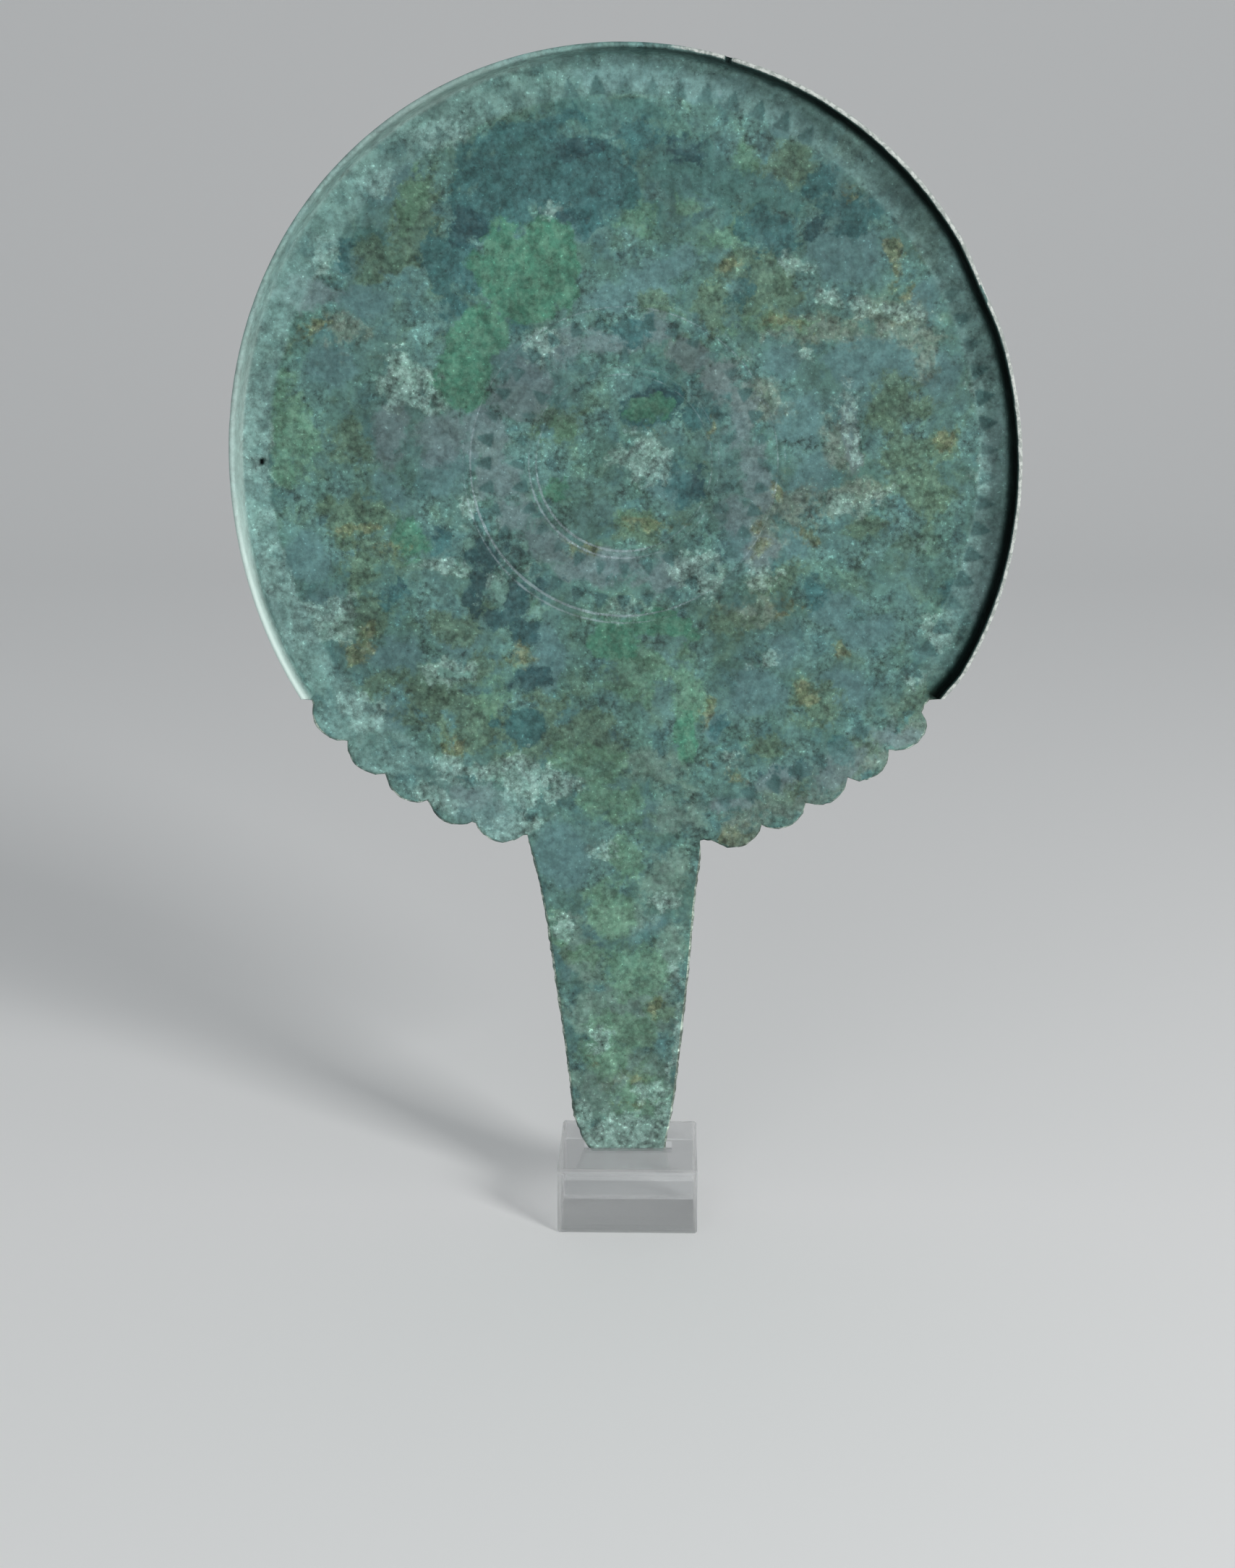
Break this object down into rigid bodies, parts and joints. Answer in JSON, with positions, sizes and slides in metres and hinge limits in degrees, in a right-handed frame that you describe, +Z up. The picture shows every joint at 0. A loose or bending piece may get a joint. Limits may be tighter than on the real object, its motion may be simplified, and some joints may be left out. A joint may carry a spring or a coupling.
{
  "type": "ancient bronze hand mirror on a display block",
  "caption": "Round bronze hand mirror with a turned-up rim, scalloped lower edge and flat tapering handle, standing in a small clear acrylic block.",
  "frame": {"origin": "middle of the whole object's box, on the underside of the display block", "axes": "+Z up the handle, +X to the right as seen from the front, decorated face towards -Y"},
  "size_m": [0.1608, 0.0306, 0.246],
  "materials": {
    "patinated_bronze": "matt green and blue corrosion over bronze",
    "clear_acrylic": "clear, polished"
  },
  "bodies": {
    "root": {"mirror": "patinated_bronze", "display_block": "clear_acrylic"}
  },
  "joints": []
}
